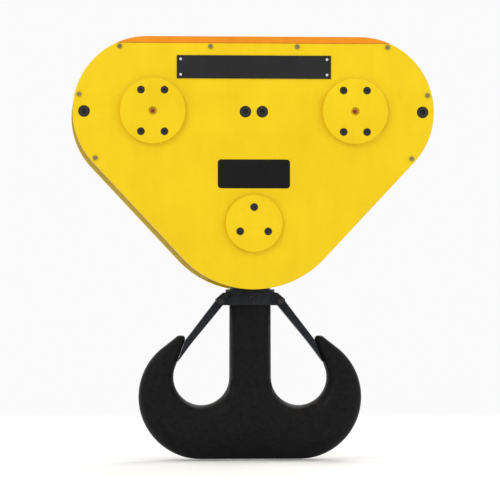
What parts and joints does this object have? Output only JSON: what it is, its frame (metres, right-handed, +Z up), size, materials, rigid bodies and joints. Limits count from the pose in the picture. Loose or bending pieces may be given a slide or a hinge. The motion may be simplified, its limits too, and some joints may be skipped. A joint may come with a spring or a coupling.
{
  "type": "crane hook block",
  "caption": "Lower hook block for a heavy hoist: rope sheaves on two axles between yellow side plates, with a black ramshorn hook that swivels and tilts.",
  "frame": {"origin": "midway between the two sheave axles, at mid depth, where the rope falls' resultant passes", "axes": "+Z up along the rope falls; +X to the right across the block, from one sheave axle to the other; -Y is the front face with the nameplate"},
  "size_m": [1.5, 0.556, 1.7599],
  "materials": {
    "yellow_paint": "semi-gloss enamel",
    "guard_paint": "satin enamel, deeper olive yellow",
    "amber_paint": "semi-gloss enamel",
    "hook_black": "satin black paint on a forging",
    "latch_black": "satin black paint",
    "olive_zinc": "yellow-passivated zinc",
    "black_oxide": "black oxide",
    "machined_steel": "turned, oiled",
    "bearing_steel": "ground",
    "sheave_steel": "cast flanks, worn bright groove",
    "forged_grey": "grey primer on forged steel",
    "bronze": "machined bronze",
    "red_cap": "moulded plastic cap",
    "black_enamel": "gloss enamel",
    "rivet_steel": "plain",
    "spring_steel": "oiled wire"
  },
  "bodies": {
    "block": {"front_side_plate": "yellow_paint", "rear_side_plate": "yellow_paint", "top_guard": "amber_paint", "left_flank_guard": "guard_paint", "right_flank_guard": "guard_paint", "guard_screws": "olive_zinc", "tie_bolts": "black_oxide", "tie_bolt_nuts": "black_oxide", "tie_spacer_tubes": "machined_steel", "rope_keeper_bars": "machined_steel", "left_axle": "machined_steel", "right_axle": "machined_steel", "axle_spacers": "machined_steel", "bearing_inner_rings": "bearing_steel", "front_axle_covers": "yellow_paint", "rear_axle_covers": "yellow_paint", "axle_cover_screws": "black_oxide", "grease_nipples": "bronze", "nipple_caps": "red_cap", "trunnion_bushes": "bronze", "blank_nameplate": "black_enamel", "nameplate_rivets": "rivet_steel"},
    "sheave_left_front": {"left_front_sheave": "sheave_steel", "left_front_outer_ring": "bearing_steel", "left_front_rollers": "bearing_steel"},
    "sheave_left_middle": {"left_middle_sheave": "sheave_steel", "left_middle_outer_ring": "bearing_steel", "left_middle_rollers": "bearing_steel"},
    "sheave_left_rear": {"left_rear_sheave": "sheave_steel", "left_rear_outer_ring": "bearing_steel", "left_rear_rollers": "bearing_steel"},
    "sheave_right_front": {"right_front_sheave": "sheave_steel", "right_front_outer_ring": "bearing_steel", "right_front_rollers": "bearing_steel"},
    "sheave_right_middle": {"right_middle_sheave": "sheave_steel", "right_middle_outer_ring": "bearing_steel", "right_middle_rollers": "bearing_steel"},
    "sheave_right_rear": {"right_rear_sheave": "sheave_steel", "right_rear_outer_ring": "bearing_steel", "right_rear_rollers": "bearing_steel"},
    "crosshead": {"crosshead": "forged_grey", "front_trunnion_cap": "yellow_paint", "rear_trunnion_cap": "yellow_paint", "trunnion_cap_screws": "black_oxide", "thrust_lower_race": "bearing_steel"},
    "hook": {"thrust_rollers": "bearing_steel", "thrust_upper_race": "bearing_steel", "thrust_dust_shroud": "machined_steel", "ramshorn_hook": "hook_black", "hook_nut": "machined_steel", "nut_lock_bar": "machined_steel", "lock_bar_screws": "black_oxide", "latch_collar": "latch_black", "collar_screws": "black_oxide", "latch_pins": "black_oxide", "latch_springs": "spring_steel"},
    "latch_left": {"left_latch": "latch_black"},
    "latch_right": {"right_latch": "latch_black"}
  },
  "joints": [
    {"name": "sheave_left_front_turn", "type": "hinge", "parent": "block", "child": "sheave_left_front", "pos_m": [-0.42, -0.13, 0], "axis": [0, 1, 0], "continuous": true},
    {"name": "sheave_left_middle_turn", "type": "hinge", "parent": "block", "child": "sheave_left_middle", "pos_m": [-0.42, 0, 0], "axis": [0, 1, 0], "continuous": true},
    {"name": "sheave_left_rear_turn", "type": "hinge", "parent": "block", "child": "sheave_left_rear", "pos_m": [-0.42, 0.13, 0], "axis": [0, 1, 0], "continuous": true},
    {"name": "sheave_right_front_turn", "type": "hinge", "parent": "block", "child": "sheave_right_front", "pos_m": [0.42, -0.13, 0], "axis": [0, 1, 0], "continuous": true},
    {"name": "sheave_right_middle_turn", "type": "hinge", "parent": "block", "child": "sheave_right_middle", "pos_m": [0.42, 0, 0], "axis": [0, 1, 0], "continuous": true},
    {"name": "sheave_right_rear_turn", "type": "hinge", "parent": "block", "child": "sheave_right_rear", "pos_m": [0.42, 0.13, 0], "axis": [0, 1, 0], "continuous": true},
    {"name": "crosshead_tilt", "type": "hinge", "parent": "block", "child": "crosshead", "pos_m": [0, 0, -0.465], "axis": [0, 1, 0], "range_deg": [-10, 10]},
    {"name": "hook_swivel", "type": "hinge", "parent": "crosshead", "child": "hook", "pos_m": [0, 0, -0.745], "axis": [0, 0, 1], "continuous": true},
    {"name": "left_latch_swing", "type": "hinge", "parent": "hook", "child": "latch_left", "pos_m": [-0.124, 0, -0.785], "axis": [0, 1, 0], "range_deg": [-35, 0], "stiffness_Nm_per_rad": 25, "springref_deg": 45.84},
    {"name": "right_latch_swing", "type": "hinge", "parent": "hook", "child": "latch_right", "pos_m": [0.124, 0, -0.785], "axis": [0, 1, 0], "range_deg": [0, 35], "stiffness_Nm_per_rad": 25, "springref_deg": -45.84}
  ]
}
